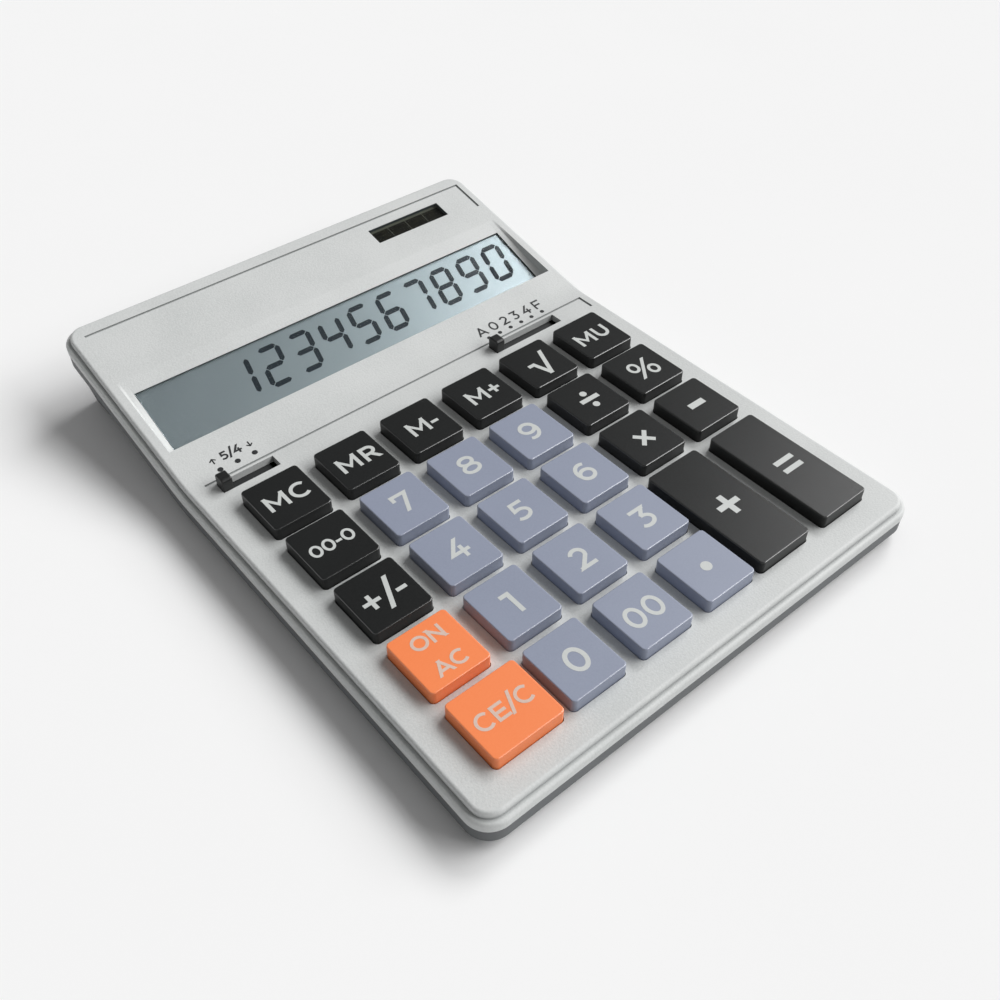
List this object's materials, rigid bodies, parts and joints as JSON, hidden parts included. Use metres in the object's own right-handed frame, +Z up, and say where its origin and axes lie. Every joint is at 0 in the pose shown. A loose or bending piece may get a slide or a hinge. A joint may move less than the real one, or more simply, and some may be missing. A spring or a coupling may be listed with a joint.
{
  "type": "electronic calculator",
  "caption": "Desktop calculator with a level keypad, a raised display panel with a wedge-shaped window recess, slide switches and a solar cell.",
  "frame": {"origin": "middle of the footprint on the table the feet stand on", "axes": "+X to the user's right, +Y from the user to the rear of the case, +Z up"},
  "size_m": [0.156, 0.207, 0.0266],
  "materials": {
    "case_top": "fine spark texture",
    "case_bottom": "fine spark texture",
    "key_black": "satin",
    "key_blue_grey": "satin",
    "key_orange": "satin",
    "knob_black": "satin",
    "clear_cover": "polished",
    "display_glass": "polished",
    "display_film": "satin",
    "reflector_film": "satin",
    "frame_plastic": "satin",
    "ribbon_film": "gloss",
    "solar_glass": "polished",
    "board_laminate": "solder mask",
    "resin_black": "cured drop",
    "can_sleeve": "shrink sleeve",
    "silicone": "translucent",
    "carbon_rubber": "matt",
    "screw_steel": "zinc plated",
    "contact_brass": "plated",
    "cell_steel": "polished",
    "lead_insulation": "satin",
    "foot_rubber": "matt"
  },
  "bodies": {
    "case": {"battery_cover": "case_bottom", "battery_cover_screw": "screw_steel", "battery_cup_contact": "contact_brass", "battery_leads": "lead_insulation", "battery_spring_contact": "contact_brass", "board_screws": "screw_steel", "bottom_case": "case_bottom", "button_cell": "cell_steel", "capacitor": "can_sleeve", "carbon_pills": "carbon_rubber", "case_screws": "screw_steel", "chip_cover": "resin_black", "display_lens": "clear_cover", "key_membrane": "silicone", "lcd_frame": "frame_plastic", "lcd_front_glass": "display_glass", "lcd_front_polariser": "display_film", "lcd_rear_glass": "display_glass", "lcd_reflector": "reflector_film", "lcd_ribbon": "ribbon_film", "main_board": "board_laminate", "rubber_feet": "foot_rubber", "solar_cell": "solar_glass", "solar_leads": "lead_insulation", "solar_lens": "clear_cover", "switch_beds": "frame_plastic", "top_case": "case_top"},
    "key_backspace_cap": {"key_backspace": "key_black"},
    "key_change_sign_cap": {"key_change_sign": "key_black"},
    "key_clear_entry_cap": {"key_clear_entry": "key_orange"},
    "key_decimal_point_cap": {"key_decimal_point": "key_blue_grey"},
    "key_divide_cap": {"key_divide": "key_black"},
    "key_double_zero_cap": {"key_double_zero": "key_blue_grey"},
    "key_eight_cap": {"key_eight": "key_blue_grey"},
    "key_equals_cap": {"key_equals": "key_black"},
    "key_five_cap": {"key_five": "key_blue_grey"},
    "key_four_cap": {"key_four": "key_blue_grey"},
    "key_mark_up_cap": {"key_mark_up": "key_black"},
    "key_memory_clear_cap": {"key_memory_clear": "key_black"},
    "key_memory_minus_cap": {"key_memory_minus": "key_black"},
    "key_memory_plus_cap": {"key_memory_plus": "key_black"},
    "key_memory_recall_cap": {"key_memory_recall": "key_black"},
    "key_minus_cap": {"key_minus": "key_black"},
    "key_multiply_cap": {"key_multiply": "key_black"},
    "key_nine_cap": {"key_nine": "key_blue_grey"},
    "key_on_all_clear_cap": {"key_on_all_clear": "key_orange"},
    "key_one_cap": {"key_one": "key_blue_grey"},
    "key_percent_cap": {"key_percent": "key_black"},
    "key_plus_cap": {"key_plus": "key_black"},
    "key_seven_cap": {"key_seven": "key_blue_grey"},
    "key_six_cap": {"key_six": "key_blue_grey"},
    "key_square_root_cap": {"key_square_root": "key_black"},
    "key_three_cap": {"key_three": "key_blue_grey"},
    "key_two_cap": {"key_two": "key_blue_grey"},
    "key_zero_cap": {"key_zero": "key_blue_grey"},
    "rounding_switch": {"rounding_knob": "knob_black", "rounding_contact": "contact_brass"},
    "decimal_switch": {"decimal_knob": "knob_black", "decimal_contact": "contact_brass"}
  },
  "joints": [
    {"name": "key_backspace_press", "type": "slide", "parent": "case", "child": "key_backspace_cap", "axis": [0, 0, -1], "range_m": [0, 0.0015], "stiffness_N_per_m": 400, "springref_m": -0.0005, "deforming": ["key_membrane", "carbon_pills"]},
    {"name": "key_change_sign_press", "type": "slide", "parent": "case", "child": "key_change_sign_cap", "axis": [0, 0, -1], "range_m": [0, 0.0015], "stiffness_N_per_m": 400, "springref_m": -0.0005, "deforming": ["key_membrane", "carbon_pills"]},
    {"name": "key_clear_entry_press", "type": "slide", "parent": "case", "child": "key_clear_entry_cap", "axis": [0, 0, -1], "range_m": [0, 0.0015], "stiffness_N_per_m": 400, "springref_m": -0.0005, "deforming": ["key_membrane", "carbon_pills"]},
    {"name": "key_decimal_point_press", "type": "slide", "parent": "case", "child": "key_decimal_point_cap", "axis": [0, 0, -1], "range_m": [0, 0.0015], "stiffness_N_per_m": 400, "springref_m": -0.0005, "deforming": ["key_membrane", "carbon_pills"]},
    {"name": "key_divide_press", "type": "slide", "parent": "case", "child": "key_divide_cap", "axis": [0, 0, -1], "range_m": [0, 0.0015], "stiffness_N_per_m": 400, "springref_m": -0.0005, "deforming": ["key_membrane", "carbon_pills"]},
    {"name": "key_double_zero_press", "type": "slide", "parent": "case", "child": "key_double_zero_cap", "axis": [0, 0, -1], "range_m": [0, 0.0015], "stiffness_N_per_m": 400, "springref_m": -0.0005, "deforming": ["key_membrane", "carbon_pills"]},
    {"name": "key_eight_press", "type": "slide", "parent": "case", "child": "key_eight_cap", "axis": [0, 0, -1], "range_m": [0, 0.0015], "stiffness_N_per_m": 400, "springref_m": -0.0005, "deforming": ["key_membrane", "carbon_pills"]},
    {"name": "key_equals_press", "type": "slide", "parent": "case", "child": "key_equals_cap", "axis": [0, 0, -1], "range_m": [0, 0.0015], "stiffness_N_per_m": 400, "springref_m": -0.0005, "deforming": ["key_membrane", "carbon_pills"]},
    {"name": "key_five_press", "type": "slide", "parent": "case", "child": "key_five_cap", "axis": [0, 0, -1], "range_m": [0, 0.0015], "stiffness_N_per_m": 400, "springref_m": -0.0005, "deforming": ["key_membrane", "carbon_pills"]},
    {"name": "key_four_press", "type": "slide", "parent": "case", "child": "key_four_cap", "axis": [0, 0, -1], "range_m": [0, 0.0015], "stiffness_N_per_m": 400, "springref_m": -0.0005, "deforming": ["key_membrane", "carbon_pills"]},
    {"name": "key_mark_up_press", "type": "slide", "parent": "case", "child": "key_mark_up_cap", "axis": [0, 0, -1], "range_m": [0, 0.0015], "stiffness_N_per_m": 400, "springref_m": -0.0005, "deforming": ["key_membrane", "carbon_pills"]},
    {"name": "key_memory_clear_press", "type": "slide", "parent": "case", "child": "key_memory_clear_cap", "axis": [0, 0, -1], "range_m": [0, 0.0015], "stiffness_N_per_m": 400, "springref_m": -0.0005, "deforming": ["key_membrane", "carbon_pills"]},
    {"name": "key_memory_minus_press", "type": "slide", "parent": "case", "child": "key_memory_minus_cap", "axis": [0, 0, -1], "range_m": [0, 0.0015], "stiffness_N_per_m": 400, "springref_m": -0.0005, "deforming": ["key_membrane", "carbon_pills"]},
    {"name": "key_memory_plus_press", "type": "slide", "parent": "case", "child": "key_memory_plus_cap", "axis": [0, 0, -1], "range_m": [0, 0.0015], "stiffness_N_per_m": 400, "springref_m": -0.0005, "deforming": ["key_membrane", "carbon_pills"]},
    {"name": "key_memory_recall_press", "type": "slide", "parent": "case", "child": "key_memory_recall_cap", "axis": [0, 0, -1], "range_m": [0, 0.0015], "stiffness_N_per_m": 400, "springref_m": -0.0005, "deforming": ["key_membrane", "carbon_pills"]},
    {"name": "key_minus_press", "type": "slide", "parent": "case", "child": "key_minus_cap", "axis": [0, 0, -1], "range_m": [0, 0.0015], "stiffness_N_per_m": 400, "springref_m": -0.0005, "deforming": ["key_membrane", "carbon_pills"]},
    {"name": "key_multiply_press", "type": "slide", "parent": "case", "child": "key_multiply_cap", "axis": [0, 0, -1], "range_m": [0, 0.0015], "stiffness_N_per_m": 400, "springref_m": -0.0005, "deforming": ["key_membrane", "carbon_pills"]},
    {"name": "key_nine_press", "type": "slide", "parent": "case", "child": "key_nine_cap", "axis": [0, 0, -1], "range_m": [0, 0.0015], "stiffness_N_per_m": 400, "springref_m": -0.0005, "deforming": ["key_membrane", "carbon_pills"]},
    {"name": "key_on_all_clear_press", "type": "slide", "parent": "case", "child": "key_on_all_clear_cap", "axis": [0, 0, -1], "range_m": [0, 0.0015], "stiffness_N_per_m": 400, "springref_m": -0.0005, "deforming": ["key_membrane", "carbon_pills"]},
    {"name": "key_one_press", "type": "slide", "parent": "case", "child": "key_one_cap", "axis": [0, 0, -1], "range_m": [0, 0.0015], "stiffness_N_per_m": 400, "springref_m": -0.0005, "deforming": ["key_membrane", "carbon_pills"]},
    {"name": "key_percent_press", "type": "slide", "parent": "case", "child": "key_percent_cap", "axis": [0, 0, -1], "range_m": [0, 0.0015], "stiffness_N_per_m": 400, "springref_m": -0.0005, "deforming": ["key_membrane", "carbon_pills"]},
    {"name": "key_plus_press", "type": "slide", "parent": "case", "child": "key_plus_cap", "axis": [0, 0, -1], "range_m": [0, 0.0015], "stiffness_N_per_m": 400, "springref_m": -0.0005, "deforming": ["key_membrane", "carbon_pills"]},
    {"name": "key_seven_press", "type": "slide", "parent": "case", "child": "key_seven_cap", "axis": [0, 0, -1], "range_m": [0, 0.0015], "stiffness_N_per_m": 400, "springref_m": -0.0005, "deforming": ["key_membrane", "carbon_pills"]},
    {"name": "key_six_press", "type": "slide", "parent": "case", "child": "key_six_cap", "axis": [0, 0, -1], "range_m": [0, 0.0015], "stiffness_N_per_m": 400, "springref_m": -0.0005, "deforming": ["key_membrane", "carbon_pills"]},
    {"name": "key_square_root_press", "type": "slide", "parent": "case", "child": "key_square_root_cap", "axis": [0, 0, -1], "range_m": [0, 0.0015], "stiffness_N_per_m": 400, "springref_m": -0.0005, "deforming": ["key_membrane", "carbon_pills"]},
    {"name": "key_three_press", "type": "slide", "parent": "case", "child": "key_three_cap", "axis": [0, 0, -1], "range_m": [0, 0.0015], "stiffness_N_per_m": 400, "springref_m": -0.0005, "deforming": ["key_membrane", "carbon_pills"]},
    {"name": "key_two_press", "type": "slide", "parent": "case", "child": "key_two_cap", "axis": [0, 0, -1], "range_m": [0, 0.0015], "stiffness_N_per_m": 400, "springref_m": -0.0005, "deforming": ["key_membrane", "carbon_pills"]},
    {"name": "key_zero_press", "type": "slide", "parent": "case", "child": "key_zero_cap", "axis": [0, 0, -1], "range_m": [0, 0.0015], "stiffness_N_per_m": 400, "springref_m": -0.0005, "deforming": ["key_membrane", "carbon_pills"]},
    {"name": "rounding_slide", "type": "slide", "parent": "case", "child": "rounding_switch", "axis": [1, 0, 0], "range_m": [0, 0.0114]},
    {"name": "decimal_slide", "type": "slide", "parent": "case", "child": "decimal_switch", "axis": [1, 0, 0], "range_m": [0, 0.023]}
  ]
}
